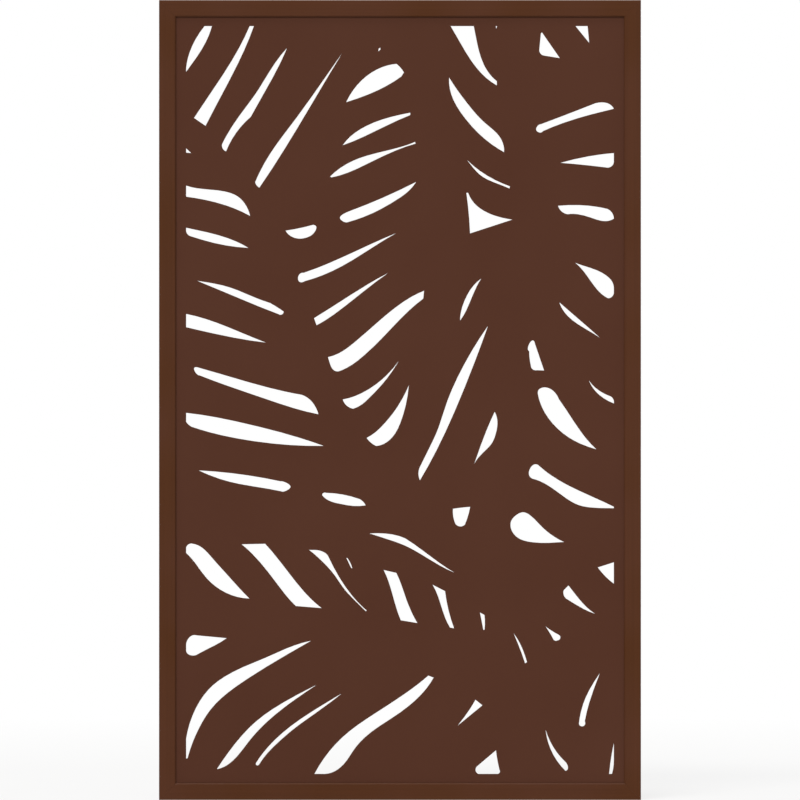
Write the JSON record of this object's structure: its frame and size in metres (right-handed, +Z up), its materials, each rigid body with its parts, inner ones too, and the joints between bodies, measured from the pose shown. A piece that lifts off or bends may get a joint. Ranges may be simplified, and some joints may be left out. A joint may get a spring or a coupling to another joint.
{
  "type": "privacy fence panel",
  "caption": "Framed privacy fence panel: a laser-cut metal sheet with palm-leaf openwork in a mitred hollow frame, fixed between posts.",
  "frame": {"origin": "middle of the panel's foot, on the mid-plane of its depth", "axes": "+X to the right as seen from the front, +Z up, the front faces -Y"},
  "size_m": [0.918, 0.02, 1.524],
  "materials": {
    "sheet_coating": "matt powder coat, chestnut brown",
    "frame_coating": "satin powder coat, chocolate brown",
    "gasket": "matt black EPDM rubber",
    "key": "mill finish"
  },
  "bodies": {
    "root": {"infill_panel": "sheet_coating", "bottom_rail": "frame_coating", "top_rail": "frame_coating", "left_stile": "frame_coating", "right_stile": "frame_coating", "gasket_bottom": "gasket", "gasket_top": "gasket", "gasket_left": "gasket", "gasket_right": "gasket", "corner_key_bottom_left": "key", "corner_key_bottom_right": "key", "corner_key_top_left": "key", "corner_key_top_right": "key"}
  },
  "joints": []
}
